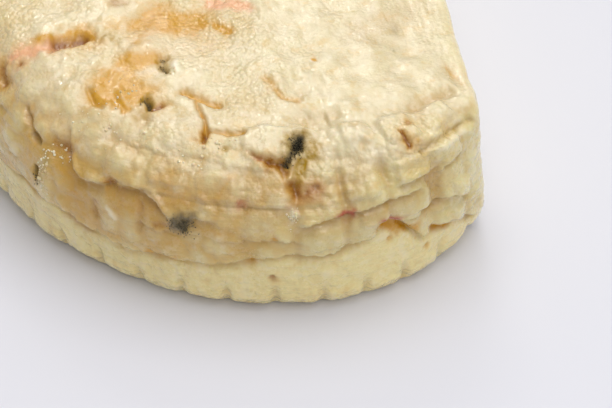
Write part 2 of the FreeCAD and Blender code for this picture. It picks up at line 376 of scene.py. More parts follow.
# What time did to the cheese: hollows, splits, weeping and mould, each a soft stroke through a
# few places in mm: (stain, strength, width, depth, places). A depth below zero stands proud.
MARKS = [
    # the deepest hollow on the top, and the salmon smear from it to the shoulder
    ("brown", 0.8, 2.0, 2.4, [(-36, -80.5, 50), (-32, -80.5, 50), (-28.5, -79.5, 50)]),
    ("amber", 1.0, 3.4, 0.0, [(-37, -80.5, 50), (-29, -79.5, 50)]),
    ("salmon", 0.9, 2.4, 0.5, [(-38, -82, 50), (-44, -82, 49), (-48.5, -82.5, 47.5)]),
    ("brown", 0.7, 0.9, 0.6, [(-46.5, -86, 47.5)]),
    ("brown", 0.7, 1.7, 1.2, [(-52, -83.5, 45), (-52, -88, 43)]),
    ("olive", 0.6, 1.5, 0.5, [(-22.5, -79.5, 50), (-19.5, -81.5, 50)]),
    # weeping patches of amber
    ("amber", 0.85, 5.0, 0.5, [(-13, -76, 50), (-9, -73, 50), (-4, -75, 50), (3, -75, 50)]),
    ("amber", 1.0, 1.3, 0.9, [(8.5, -79, 50), (12, -82, 50)]),
    ("brown", 0.5, 1.5, 0.5, [(-19.5, -65, 50), (-17, -65.5, 50)]),
    ("salmon", 1.0, 2.0, 0.2, [(8, -68.5, 50), (18, -72, 50)]),
    ("amber", 0.8, 3.8, 0.6, [(-17.5, -91.5, 50), (-10, -91, 50)]),
    ("amber", 0.95, 4.8, 1.0, [(-23.5, -104, 50), (-20, -98.5, 50), (-16, -105, 50)]),
    ("amber", 1.0, 1.3, 0.9, [(-21, -105.5, 50), (-19, -110, 49.5)]),
    ("amber", 0.6, 0.7, 0.9, [(-28.5, -100.5, 49.5), (-27, -105.5, 49), (-24.5, -108.5, 49)]),
    # two small pits, painted near black inside, and a soft dent beside them in painted olive shade
    ("mould", 0.65, 0.7, 1.4, [(-8.5, -91.5, 50), (-6.5, -91, 50)]),
    ("mould", 0.8, 0.7, 1.5, [(-8, -94, 50), (-6.5, -96.5, 50)]),
    ("pale", 0.9, 1.2, -0.6, [(-4, -94, 50), (-3.5, -96.5, 50)]),
    ("mould", 0.9, 0.9, 2.2, [(-13, -107, 50), (-12.5, -110, 50)]),
    ("brown", 0.9, 1.2, 1.0, [(-11.5, -111, 50), (-9.5, -110.5, 50)]),
    ("pale", 0.8, 1.0, -0.5, [(-11, -106, 50)]),
    ("olive", 0.25, 3.0, 1.0, [(-15.5, -113.7, 49.3)]),
    # the split that runs down from the top, and two soft folds beside it with painted shadows in amber
    ("amber", 0.7, 0.5, 1.7, [(0.5, -110.5, 50), (1, -114.5, 50), (2, -117.5, 50), (2, -121, 49.7),
                              (0.5, -124, 49)]),
    ("brown", 0.9, 0.9, 1.6, [(1, -122.5, 49.5), (0.3, -124.5, 49)]),
    ("amber", 0.7, 1.1, 1.5, [(-3, -106, 50), (0.6, -108.6, 50), (3.4, -111, 50), (6.5, -112, 50)]),
    ("amber", 0.6, 1.0, 1.4, [(2.5, -121.4, 49.7), (6.2, -122.6, 49.7), (11.5, -124, 49.7)]),
    ("olive", 0.8, 1.0, 0.8, [(6.2, -128, 48.3)]),
    # a smooth proud lump, and the crevice under it that the black mould grew from
    ("pale", 0.15, 3.2, -0.2, [(13.5, -127.5, 49.4), (20, -127.5, 49.4)]),
    ("brown", 0.55, 0.5, 1.6, [(12.5, -130.8, 47.8), (16, -132.3, 47.5), (19, -134, 46.9),
                               (22, -135.6, 45.9)]),
    ("brown", 0.75, 1.2, 1.8, [(17, -133.3, 47), (19.5, -135, 46.2), (21.5, -137, 45.2)]),
    ("red", 0.6, 0.7, 0.6, [(13.5, -131.6, 47.6), (17, -133.3, 47)]),
    ("mould", 1.0, 1.7, 0.2, [(26.3, -129.3, 49.3), (25.7, -131, 48.6)]),
    ("mould", 0.85, 1.0, 0.5, [(24, -132, 48), (22.2, -135, 46.5)]),
    ("olive", 1.0, 1.6, 0.9, [(25.8, -134.6, 46.8), (25.2, -137, 45.3)]),
    ("olive", 0.7, 1.9, 0.0, [(23.5, -127.8, 49.6), (27.5, -127.6, 49.6), (29.2, -130.2, 48.9),
                              (28.6, -133.6, 47.4)]),
    ("brown", 0.7, 1.1, 1.7, [(22.5, -139.3, 43), (23.2, -141.3, 41)]),
    ("rosy", 0.75, 3.0, 0.5, [(24.5, -141.5, 41), (29, -141, 42)]),
    ("rosy", 0.4, 5.0, 0.0, [(16, -139.5, 42), (32, -141.5, 41.5)]),
    ("brown", 0.5, 1.2, 0.8, [(26, -141.2, 41.5), (28.5, -140.8, 42.2)]),
    ("rosy", 0.28, 6.0, 0.0, [(50, -88, 50), (60, -82, 50)]),
    ("salmon", 0.22, 8.0, 0.0, [(-8, -83, 50), (4, -85, 50)]),
    # folds and faint hollows of the top towards the cut
    ("amber", 0.5, 1.1, 0.7, [(19.5, -104, 50), (21.5, -108, 50), (23.5, -113, 50), (27.5, -114.5, 50)]),
    ("amber", 1.0, 0.8, 0.3, [(34, -98.3, 50)]),
    ("olive", 0.5, 0.9, 0.3, [(41, -126.8, 50)]),
    ("grey", 0.35, 1.6, 0.0, [(59, -86.5, 50), (58, -90, 50)]),
    ("grey", 0.25, 1.2, 0.0, [(48, -91.5, 50), (50, -92.5, 50)]),
    ("grey", 0.7, 0.45, 0.0, [(56.6, -96.7, 50)]),
    ("amber", 0.5, 1.0, 0.5, [(69.5, -106, 50), (72, -111, 50)]),
    ("pale", 0.0, 2.2, 1.1, [(57, -122.5, 50), (62, -119.5, 50), (68, -116, 50)]),
    ("pale", 0.1, 2.6, 0.6, [(28.5, -122.2, 50), (34.5, -121.7, 50)]),
    ("pale", 0.5, 1.0, -0.8, [(16.5, -122.8, 50), (24, -125, 50), (31, -127, 49.8)]),
    ("pale", 0.3, 3.0, -0.9, [(33, -131, 49), (43, -130, 49.3)]),
    ("pale", 0.35, 3.4, -1.2, [(45, -136, 46.5), (56, -133, 47.5)]),
    ("brown", 0.85, 0.75, 1.5, [(52.5, -131.4, 49.3), (54.2, -133.8, 48)]),
    ("amber", 0.5, 1.6, 0.4, [(53.5, -132, 49), (56.5, -132.5, 48.5)]),
    ("brown", 0.7, 0.55, 0.6, [(54.8, -128.2, 50)]),
    # the crease across the corner, and the bricks below it
    ("olive", 0.4, 0.7, 0.9, [(57, -134.5, 46.5), (62, -131.5, 47.2), (65.5, -129.4, 47.5),
                              (68, -128, 47.5), (73, -124.5, 46.5)]),
    ("pale", 0.6, 1.0, -0.7, [(62.5, -133, 45.7), (66.5, -130.3, 46), (72, -126.7, 45)]),
    ("olive", 0.15, 1.8, 1.5, [(62.5, -136, 41.3), (63, -136.5, 35), (63.5, -136.5, 28.7)]),
    ("olive", 0.4, 0.9, 1.4, [(65.4, -133.8, 39.1), (69, -130.6, 39.2)]),
    ("pale", 0.5, 2.6, -1.3, [(70, -131, 29.5)]),
    ("amber", 0.9, 1.6, 2.0, [(63, -137.3, 19), (67.5, -134.3, 16.5)]),
    ("amber", 1.0, 1.8, 1.2, [(46.5, -144.5, 28.5), (51.3, -143, 25.7), (55.7, -141, 23.4)]),
    ("amber", 0.7, 1.2, 0.6, [(49.4, -143.8, 21.7)]),
    ("amber", 0.6, 1.0, 0.4, [(61.3, -138.7, 13)]),
    ("rosy", 0.7, 0.9, 0.0, [(33, -145, 35.7), (39, -144.8, 36)]),
    ("red", 1.0, 1.0, 0.3, [(35, -145, 35.7), (37.5, -144.9, 36)]),
    ("red", 0.85, 1.1, 0.2, [(46.5, -144.5, 32), (49.7, -143.5, 30), (52, -142.7, 30)]),
    ("pale", 0.9, 1.0, -0.9, [(22, -143.8, 38), (22.5, -144.5, 36.3)]),
    ("rosy", 0.6, 1.6, 0.0, [(20.5, -143, 39), (24, -143.6, 37)]),
    # small pits under the lip
    ("amber", 0.8, 1.2, 1.0, [(10.3, -144.7, 19.5)]),
    ("rosy", 0.8, 1.1, 0.9, [(16.2, -145.8, 13.9)]),
    ("amber", 0.8, 0.9, 1.0, [(17, -145.5, 30)]),
    ("amber", 0.8, 1.3, 1.0, [(-16, -134.8, 17.8), (-11, -137, 18.5)]),
    ("amber", 0.7, 1.2, 0.8, [(-24, -130, 17.2)]),
    ("rosy", 0.8, 1.7, 1.0, [(-38, -118.7, 17.8), (-34, -122.2, 16.5)]),
    ("amber", 0.6, 2.2, 1.2, [(-49.7, -105, 19.1), (-46.3, -109.5, 20.4)]),
    # the left side: a torn panel with its flap, a dark split and a scraped, grainy streak
    ("brown", 0.25, 0.7, 1.4, [(-46, -99, 42.6), (-45.4, -103.8, 39.6)]),
    ("mould", 0.4, 1.2, 2.4, [(-45, -105.5, 38.5), (-43.8, -108, 37.5)]),
    ("brown", 0.6, 1.7, 1.0, [(-38.4, -112.3, 39.6), (-35.4, -114.8, 40)]),
    ("grey", 0.35, 1.5, -0.4, [(-40.8, -111.8, 37.4), (-42.2, -112.5, 33.8), (-43.8, -112.4, 28)]),
    ("mould", 0.8, 1.0, 1.8, [(-45, -110.8, 30.5), (-45, -111, 28.5)]),
    ("amber", 0.4, 4.2, 0.9, [(-37.5, -116, 36), (-36.8, -119, 31.3), (-35.3, -121, 27.5)]),
    ("brown", 0.8, 0.9, 2.2, [(-25.6, -125.8, 36.8), (-24, -126.7, 36.8)]),
    ("rosy", 0.5, 1.5, 0.0, [(-22, -128.2, 36.8), (-22.3, -128.6, 34)]),
    ("rosy", 0.24, 9.0, 0.0, [(-27, -127.5, 30), (-20, -131.5, 31), (-13, -135.5, 29)]),
    ("rosy", 0.42, 7.5, 0.0, [(-12, -133, 38), (0, -138, 39), (12, -140.5, 39), (27, -142, 39),
                              (38, -141.5, 39)]),
    ("rosy", 0.2, 10.0, 0.0, [(-42, -103, 42), (-28, -114, 45), (-14, -124, 46)]),
    ("rosy", 0.2, 7.0, 0.0, [(-6, -118, 49), (6, -116, 50)]),
    ("pale", 0.7, 0.9, -0.3, [(-26.3, -128.2, 29), (-24.8, -129.4, 27.3)]),
    ("brown", 0.35, 0.8, 0.7, [(-30.3, -125.1, 29.4), (-30.8, -125, 23.6)]),
    ("brown", 0.3, 0.8, 0.6, [(-17.7, -132.1, 34.4), (-18.4, -133.5, 25)]),
    ("grey", 1.0, 2.6, 0.2, [(-7.5, -138.3, 31.5), (-6.5, -138.7, 32)]),
    ("mould", 0.5, 1.2, 0.2, [(-7.5, -138.3, 31.5), (-6.8, -138.5, 32.2)]),
    ("brown", 0.5, 1.0, 0.3, [(-14, -135.7, 29.4), (-10, -137.4, 30)]),
    ("red", 0.55, 1.3, 0.3, [(8.8, -140.4, 39)]),
]
# Each mark dents the surface and stains it, with a ragged edge. Round a brown mark the whey crept
# on as amber, and round the black mould the spores spread on as olive.
STAINS = ["amber", "brown", "salmon", "mould", "olive", "grey", "rosy", "pale", "red"]
STAIN_SPREAD, HALO_SPREAD, HALO_STRENGTH = 1.25, 2.0, 0.75
stains = {name: np.zeros(around_grid.shape) for name in STAINS}
for number, (stain, strength, width, depth, places) in enumerate(MARKS):
    gap = off_line(ragged, places)
    gap = gap * (1 + 0.45 * noise(smooth_grid, 1.3 * width + 0.5, 60 + number))
    gap = gap * (1 + 0.3 * noise(smooth_grid, 0.4 * width + 0.8, 160 + number))
    relief = relief - depth * bell(gap, width)
    sunk = sunk + max(depth, 0) * bell(gap, width)
    stains[stain] = np.maximum(stains[stain], strength * bell(gap, STAIN_SPREAD * width))
    if stain in ("brown", "mould"):
        halo = HALO_STRENGTH * strength * bell(gap, HALO_SPREAD * width + 0.4)
        around_it = "amber" if stain == "brown" else "olive"
        stains[around_it] = np.maximum(stains[around_it], halo)

# Whey settled in the low places and between the curds and dried to straw, less so near the cut.
LOW_STRAW, GAP_STRAW = 0.36, 0.34
fresh = ease(-around_grid, -92, -56)
low_places = ease(-(lumps + 0.4 * (curd + wobble[0])), 0.1, 1.1) * (1 - on_cut)
gaps = ease(-curds, -0.35, -0.02) * below_top * lumpy
stains["amber"] = np.maximum(stains["amber"], LOW_STRAW * low_places * (1 - 0.5 * fresh))
stains["amber"] = np.maximum(stains["amber"], GAP_STRAW * gaps * (1 - 0.6 * fresh))

# The underside stays flat: the relief fades in over the lowest two millimetres.
above_floor = ease(smooth_grid[..., 2], -0.5, 2.0)
grid = smooth_grid + (relief * above_floor)[..., None] * normals
grid[..., 2] = np.maximum(grid[..., 2], 0)


def mesh_from(name, points, quads, triangles):
    """A smooth-shaded mesh in metres from points in mm, quads and triangles."""
    loops = np.concatenate([quads.ravel(), triangles.ravel()])
    totals = np.repeat([4, 3], [len(quads), len(triangles)])
    mesh = bpy.data.meshes.new(name)
    mesh.vertices.add(len(points))
    mesh.vertices.foreach_set("co", (points * MM).astype(np.float32).ravel())
    mesh.loops.add(len(loops))
    mesh.loops.foreach_set("vertex_index", loops.astype(np.int32))
    mesh.polygons.add(len(totals))
    starts = np.concatenate([[0], np.cumsum(totals)[:-1]])
    mesh.polygons.foreach_set("loop_start", starts.astype(np.int32))
    mesh.polygons.foreach_set("use_smooth", np.ones(len(totals), bool))
    mesh.update(calc_edges=True)
    mesh.validate()
    return mesh


rows, columns = grid.shape[:2]
quads, fans = grid_faces(rows, columns)
poles = np.array([[*POLE, 0.0], [*POLE, HEIGHT]])
points = np.concatenate([grid.reshape(-1, 3), poles])
cheese = bpy.data.objects.new(NODE + "_visual", mesh_from("cheese", points, quads, fans))
bpy.context.collection.objects.link(cheese)
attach(cheese, "root")
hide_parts(NODE)


def linear(hex_colour, alpha=1.0):
    """A hex sRGB colour as linear RGBA."""
    part = np.array([int(hex_colour[i:i + 2], 16) for i in (1, 3, 5)]) / 255
    part = np.where(part <= 0.04045, part / 12.92, ((part + 0.055) / 1.055) ** 2.4)
    return (*part, alpha)


def add(tree, kind, settings=None, links=None):
    """Add a node: settings are its own values or its sockets' numbers, links name their sources."""
    node = tree.nodes.new(kind)
    for name, value in (settings or {}).items():
        if isinstance(name, str) and hasattr(node, name):
            setattr(node, name, value)
        else:
            node.inputs[name].default_value = value
    for name, source in (links or {}).items():
        tree.links.new(source, node.inputs[name])
    return node


def put_on(mesh, name, channels):
    """Store up to three values from 0 to 1 for every vertex as one colour attribute. The two pole
    vertices get the last ring's mean."""
    values = np.ones((len(mesh.vertices), 4), np.float32)
    for k, channel in enumerate(channels):
        ends = [channel[0].mean(), channel[-1].mean()]
        values[:, k] = np.concatenate([channel.ravel(), ends])
    layer = mesh.attributes.new(name, "FLOAT_COLOR", "POINT")
    layer.data.foreach_set("color", values.ravel())


# A soft, moist cheese: a cream-coloured wet curd with a dull shine. It is slightly translucent,
# so light warms the thin edges. Whey dried in its hollows to straw and amber. The colour also
# holds painted light: painted shade on the sides, in the hollows and in a few soft folds and
# dents, and a painted highlight mixed into the pale mottle of the raised lumps.
MIX_A, MIX_B, MIX_OUT = 6, 7, 2  # a Mix node's two colour sockets and its colour result
FULL_HOLLOW = 1.8  # mm deep, from where a hollow has its full shade
# on_side is 1 on the upright sides and 0 on the top: the colour darkens the sides with it as painted
# shade, and the bump lays its level layers there
on_side = ease(-normals[..., 2], -0.97, -0.45)
MASKS = {
    "weeping": {name: stains[name] for name in ("amber", "brown", "salmon")},
    "mould": {name: stains[name] for name in ("mould", "olive", "grey")},
    "blush": {name: stains[name] for name in ("rosy", "pale", "red")},
    "form": {"hollow": sunk / FULL_HOLLOW, "cut": on_cut, "side": on_side},
    "zone": {"band": on_band, "crest": ease(curds, 0.4, 0.95) * lumpy, "fresh": fresh * on_side},
}
mesh = cheese.data
for name, channels in MASKS.items():
    put_on(mesh, name, [np.clip(channel, 0, 1) for channel in channels.values()])
layer_place = mesh.attributes.new("print_place", "FLOAT_VECTOR", "POINT")
print_place = np.zeros((len(mesh.vertices), 3), np.float32)
print_place[:-2, 0] = around_grid.ravel()
print_place[:-2, 1] = way_grid.ravel()
layer_place.data.foreach_set("vector", (print_place * MM).ravel())

flesh = bpy.data.materials.new("moist pressed cheese curd")
flesh.use_nodes = True
tree = flesh.node_tree
shader = tree.nodes["Principled BSDF"]
place = add(tree, "ShaderNodeTexCoord").outputs["Object"]
masks = {}
for name, channels in MASKS.items():
    source = add(tree, "ShaderNodeAttribute", {"attribute_name": name})
    split = add(tree, "ShaderNodeSeparateColor", {}, {"Color": source.outputs["Color"]})
    masks.update(zip(channels, split.outputs))
print_at = add(tree, "ShaderNodeAttribute", {"attribute_name": "print_place"}).outputs["Vector"]

# colour: patches of cream and straw a few cm across, mottled with grains of a mm or two
PATCH, MOTTLE, SPECK, GRAIN, LAYER, FINE = np.array([34, 5, 2.2, 1.3, 1.1, 0.9]) * MM
patch = add(tree, "ShaderNodeTexNoise", {"Scale": 1 / PATCH, "Detail": 4.0, "Roughness": 0.6},
            {"Vector": place})
mottle = add(tree, "ShaderNodeTexNoise", {"Scale": 1 / MOTTLE, "Detail": 5.0, "Roughness": 0.65},
             {"Vector": place})
grain = add(tree, "ShaderNodeTexVoronoi", {"Scale": 1 / GRAIN, "Randomness": 1.0}, {"Vector": place})
# painted shade: the sides are painted a darker, deeper gold than the top, because less light falls on
# them
base = add(tree, "ShaderNodeMix",
           {"data_type": "RGBA", MIX_A: linear("#e2d1a6"), MIX_B: linear("#d4b162")},
           {0: masks["side"]}).outputs[MIX_OUT]
pale_side = add(tree, "ShaderNodeMath", {"operation": "MULTIPLY", 1: 0.7}, {0: masks["fresh"]})
base = add(tree, "ShaderNodeMix", {"data_type": "RGBA", MIX_B: linear("#e3d89a")},
           {0: pale_side.outputs[0], MIX_A: base}).outputs[MIX_OUT]
base = add(tree, "ShaderNodeMix", {"data_type": "RGBA", MIX_B: linear("#f1de9a")},
           {0: masks["band"], MIX_A: base}).outputs[MIX_OUT]
patchy = add(tree, "ShaderNodeMapRange", {"From Min": 0.5, "From Max": 0.74, "To Max": 0.6},
             {"Value": patch.outputs["Fac"]})
base = add(tree, "ShaderNodeMix", {"data_type": "RGBA", MIX_B: linear("#e2c27c")},
           {0: patchy.outputs[0], MIX_A: base}).outputs[MIX_OUT]
base = add(tree, "ShaderNodeMix", {"data_type": "RGBA", MIX_B: linear("#f6e6b8")},
           {0: masks["cut"], MIX_A: base}).outputs[MIX_OUT]
crest = add(tree, "ShaderNodeMath", {"operation": "MULTIPLY", 1: 0.5}, {0: masks["crest"]})
base = add(tree, "ShaderNodeMix", {"data_type": "RGBA", MIX_B: linear("#eadfa8")},
           {0: crest.outputs[0], MIX_A: base}).outputs[MIX_OUT]
mottled = add(tree, "ShaderNodeMapRange", {"From Min": 0.52, "From Max": 0.75, "To Max": 0.55},
              {"Value": mottle.outputs["Fac"]})
veined = add(tree, "ShaderNodeMapRange", {"From Min": 0.46, "From Max": 0.34, "To Max": 0.38},
             {"Value": mottle.outputs["Fac"]})
base = add(tree, "ShaderNodeMix", {"data_type": "RGBA", MIX_B: linear("#d8b060")},
           {0: veined.outputs[0], MIX_A: base}).outputs[MIX_OUT]
# partly the curd's own paler tone and partly a painted highlight: the palest spots sit on the lumps that
# the bump raises
base = add(tree, "ShaderNodeMix", {"data_type": "RGBA", MIX_B: linear("#faefd0")},
           {0: mottled.outputs[0], MIX_A: base}).outputs[MIX_OUT]
# painted shade: every hollow, groove, undercut and split is darkened towards a dark straw by its depth,
# fully from FULL_HOLLOW deep
deep = add(tree, "ShaderNodeMath", {"operation": "MULTIPLY", 1: 0.78}, {0: masks["hollow"]})
base = add(tree, "ShaderNodeMix", {"data_type": "RGBA", MIX_B: linear("#b98a30")},
           {0: deep.outputs[0], MIX_A: base}).outputs[MIX_OUT]
# each stain keeps to its own marks, with an edge broken up by specks of a mm or two
speckle = add(tree, "ShaderNodeTexNoise", {"Scale": 1 / SPECK, "Detail": 5.0, "Roughness": 0.7},
              {"Vector": place})
for stain, colour, haze in (
        ("pale", "#fbf3d4", 0.35), ("amber", "#d29a14", 0.65), ("salmon", "#edb382", 0.35),
        ("rosy", "#b98546", 0.35), ("red", "#b45226", 0.35), ("olive", "#b08a14", 0.5),
        ("brown", "#8f5206", 0.25), ("grey", "#7a6840", 0.3), ("mould", "#1e160a", 0.05)):
    mask = masks[stain]
    broken = add(tree, "ShaderNodeMath", {"operation": "MULTIPLY_ADD", 1: 1.9},
                 {0: speckle.outputs["Fac"], 2: mask})
    edge = add(tree, "ShaderNodeMapRange", {"From Min": 1.05, "From Max": 1.85},
               {"Value": broken.outputs[0]})
    held = add(tree, "ShaderNodeMath", {"operation": "MULTIPLY"}, {0: edge.outputs[0], 1: mask})
    stained = add(tree, "ShaderNodeMath", {"operation": "MULTIPLY_ADD", 1: haze},
                  {0: mask, 2: held.outputs[0]})
    share = add(tree, "ShaderNodeClamp", {}, {"Value": stained.outputs[0]})
    base = add(tree, "ShaderNodeMix", {"data_type": "RGBA", MIX_B: linear(colour)},
               {0: share.outputs[0], MIX_A: base}).outputs[MIX_OUT]
tree.links.new(base, shader.inputs["Base Color"])

# surface: grains, the weave's thin level layers and a fine wet roughness, in mm
stretched = add(tree, "ShaderNodeMapping", {"Scale": (0.13, 1.0, 1.0)}, {"Vector": print_at})
layers = add(tree, "ShaderNodeTexNoise", {"Scale": 1 / LAYER, "Detail": 3.0, "Roughness": 0.6},
             {"Vector": stretched.outputs[0]})
fine = add(tree, "ShaderNodeTexNoise", {"Scale": 1 / FINE, "Detail": 4.0, "Roughness": 0.7},
           {"Vector": place})
layered = add(tree, "ShaderNodeMath", {"operation": "MULTIPLY"},
              {0: layers.outputs["Fac"], 1: masks["side"]})
grainy = add(tree, "ShaderNodeMapRange", {"From Min": 0.45, "From Max": 0.62, "To Max": -0.4},
             {"Value": patch.outputs["Fac"]})
layers_up = add(tree, "ShaderNodeMath", {"operation": "MULTIPLY", 1: 0.25}, {0: layered.outputs[0]})
grains_up = add(tree, "ShaderNodeMath", {"operation": "MULTIPLY_ADD"},
               {0: grainy.outputs[0], 1: grain.outputs["Distance"], 2: layers_up.outputs[0]})
fine_up = add(tree, "ShaderNodeMath", {"operation": "MULTIPLY_ADD", 1: 0.1},
               {0: fine.outputs["Fac"], 2: grains_up.outputs[0]})
lumps_up = add(tree, "ShaderNodeMath", {"operation": "MULTIPLY_ADD", 1: 0.45},
               {0: mottle.outputs["Fac"], 2: fine_up.outputs[0]})
bump = add(tree, "ShaderNodeBump", {"Strength": 1.0, "Distance": MM}, {"Height": lumps_up.outputs[0]})
tree.links.new(bump.outputs[0], shader.inputs["Normal"])
tree.links.new(bump.outputs[0], shader.inputs["Coat Normal"])
wet = add(tree, "ShaderNodeMapRange",
          {"From Min": 0.4, "From Max": 0.62, "To Min": 0.14, "To Max": 0.38},
          {"Value": mottle.outputs["Fac"]})
furry = add(tree, "ShaderNodeMath", {"operation": "MAXIMUM"}, {0: wet.outputs[0], 1: masks["mould"]})
tree.links.new(furry.outputs[0], shader.inputs["Roughness"])
shader.inputs["IOR"].default_value = 1.45
shader.inputs["Subsurface Weight"].default_value = 0.2
shader.inputs["Subsurface Radius"].default_value = (1.0, 0.6, 0.25)
shader.inputs["Subsurface Scale"].default_value = 1.6 * MM
coated = add(tree, "ShaderNodeMapRange", {"To Min": 0.75, "To Max": 0.0}, {"Value": masks["mould"]})
tree.links.new(coated.outputs[0], shader.inputs["Coat Weight"])
shader.inputs["Coat Roughness"].default_value = 0.05
mesh.materials.append(flesh)

# ---------------------------------------------------------------------------------------------
# Loose curd grains: pale crumbs a fraction of a millimetre across, where the surface was scraped
# or wept. They are the same cheese, dried whiter, and they stick where they lie.
# ---------------------------------------------------------------------------------------------
def spread_over(patches, seed):
    """Seats on the finished surface for scattered things. Each patch is (s, way, spread round,
    spread up, count), the seats are drawn from a normal spread about its middle, and each takes
    the nearest vertex of the grid. Also the outward normals there."""
    draw = np.random.default_rng(seed)
    s = np.concatenate([draw.normal(p[0], p[2], p[4]) for p in patches])
    way = np.concatenate([draw.normal(p[1], p[3], p[4]) for p in patches])
    column = np.clip(np.searchsorted(around, s), 1, columns - 1)
    row = np.abs(way_grid[:, column] - way).argmin(0)
    return grid[row, column], final_normals[row, column], draw


def balls(centres, radii, rings, sides):
    """Closed balls: centre + radii * (sin a cos b, sin a sin b, cos a), a from pole to pole and b
    round, all in one set of points and faces. radii is one row of three for each ball."""
    a = np.linspace(0, np.pi, rings + 2)[1:-1, None]
    b = 2 * np.pi * np.arange(sides) / sides
    unit = np.stack([np.sin(a) * np.cos(b), np.sin(a) * np.sin(b), np.cos(a) + 0 * b], -1).reshape(-1, 3)
    unit = np.concatenate([unit, [[0, 0, 1], [0, 0, -1]]])
    points = centres[:, None] + radii[:, None] * unit[None]
    index = np.arange(rings * sides).reshape(rings, sides)
    after = np.roll(index, -1, 1)
    quads = np.stack([index[:-1], index[1:], after[1:], after[:-1]], -1).reshape(-1, 4)
    top = np.stack([np.full(sides, rings * sides), index[0], after[0]], -1)
    bottom = np.stack([np.full(sides, rings * sides + 1), after[-1], index[-1]], -1)
    shift = (np.arange(len(centres)) * len(unit))[:, None, None]
    fans = np.concatenate([top, bottom])
    return points.reshape(-1, 3), (quads + shift).reshape(-1, 4), (fans + shift).reshape(-1, 3)


final_normals = grid_normals(grid)
GRAIN_PATCHES = [
    (145, 36, 1.0, 4.5, 70), (141, 43, 2.6, 1.3, 26), (133, 66, 4.5, 3.5, 22), (117, 83, 1.4, 1.4, 10),
    (70, 40.3, 0.8, 1.5, 40), (94, 59, 2.6, 1.2, 16), (102, 53, 5.0, 2.0, 16), (130, 54, 6.0, 2.6, 26),
]
seats, facing, draw = spread_over(GRAIN_PATCHES, 5)
size = np.minimum(draw.lognormal(np.log(0.22), 0.45, len(seats)), 0.6)
radii = size[:, None] * draw.uniform(0.7, 1.2, (len(seats), 3))
points, quads, fans = balls(seats + facing * (0.1 * size)[:, None], radii, 4, 7)
crumbs = bpy.data.objects.new("curd_grains", mesh_from("curd_grains", points, quads, fans))
bpy.context.collection.objects.link(crumbs)
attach(crumbs, "root")

# Dried curd: near white and slightly waxy, with a wet gloss and a dimpled skin.
dried = bpy.data.materials.new("dried curd grains")
dried.use_nodes = True
tree = dried.node_tree
shader = tree.nodes["Principled BSDF"]
place = add(tree, "ShaderNodeTexCoord").outputs["Object"]
tone = add(tree, "ShaderNodeTexNoise", {"Scale": 1 / (4 * MM), "Detail": 3.0}, {"Vector": place})
toned = add(tree, "ShaderNodeMapRange", {"From Min": 0.4, "From Max": 0.65},
            {"Value": tone.outputs["Fac"]})
colour = add(tree, "ShaderNodeMix",
             {"data_type": "RGBA", MIX_A: linear("#f4e8c8"), MIX_B: linear("#e2c890")},
             {0: toned.outputs[0]})
tree.links.new(colour.outputs[MIX_OUT], shader.inputs["Base Color"])
skin = add(tree, "ShaderNodeTexNoise", {"Scale": 1 / (0.25 * MM), "Detail": 2.0}, {"Vector": place})
dimple = add(tree, "ShaderNodeBump", {"Strength": 0.5, "Distance": 0.1 * MM},
             {"Height": skin.outputs["Fac"]})
tree.links.new(dimple.outputs[0], shader.inputs["Normal"])
shader.inputs["Roughness"].default_value = 0.3
shader.inputs["Subsurface Weight"].default_value = 0.2
shader.inputs["Subsurface Scale"].default_value = 1 * MM
crumbs.data.materials.append(dried)

# ---------------------------------------------------------------------------------------------
# Mould: tufts of fine grey threads, each with a dark round head of spores, standing on the black
# and the grey-green patches. It grew on the wet curd and is soft and quite dull.
# ---------------------------------------------------------------------------------------------
MOULD_PATCHES = [
    (68, 60.0, 1.0, 0.9, 120), (68.6, 57.6, 0.9, 0.9, 90), (71.5, 54.4, 0.6, 0.9, 40),
    (100.5, 35.0, 1.7, 1.3, 90), (99.5, 34.0, 0.8, 0.8, 40), (147.5, 31.5, 0.7, 1.1, 26),
    (124, 67.0, 0.7, 1.0, 16), (122, 83.0, 0.7, 1.4, 16),
]
THREAD_RADIUS, HEAD_RADIUS = 0.045, 0.15
GREY_X, GREY_REACH, GREY_TONE = -7.0, 8.0, 0.62  # where the grey spot is, and its heads' paler tone
seats, facing, draw = spread_over(MOULD_PATCHES, 9)
length = draw.uniform(0.25, 0.95, len(seats))
lean_way = draw.normal(0, 0.45, (len(seats), 3)) + facing
lean_way /= np.linalg.norm(lean_way, axis=-1, keepdims=True)
curl = draw.normal(0, 0.25, (len(seats), 3))


def threads(seats, ways, lengths, curls, radius, rings=4, sides=4):
    """Thin tapering threads: middle line seat + way * length * t + curl * t^2, with a square ring
    of the radius about it that narrows to half at the tip."""
    t = np.linspace(0, 1, rings)[None, :, None]
    middle = seats[:, None] + ways[:, None] * lengths[:, None, None] * t + curls[:, None] * t * t
    side = np.cross(ways, [0.3, 0.2, 0.93])
    side /= np.linalg.norm(side, axis=-1, keepdims=True)
    other = np.cross(ways, side)
    angle = 2 * np.pi * np.arange(sides) / sides
    ring = np.cos(angle)[:, None] * side[:, None] + np.sin(angle)[:, None] * other[:, None]
    points = middle[:, :, None] + ring[:, None] * radius * (1 - 0.5 * t)[..., None]
    index = np.arange(rings * sides).reshape(rings, sides)
    after = np.roll(index, -1, 1)
    quads = np.stack([index[:-1], after[:-1], after[1:], index[1:]], -1).reshape(-1, 4)
    ends = np.array([index[0, ::-1], index[-1]])
    shift = (np.arange(len(seats)) * rings * sides)[:, None, None]
    return points.reshape(-1, 3), (np.concatenate([quads, ends]) + shift).reshape(-1, 4), middle[:, -1]


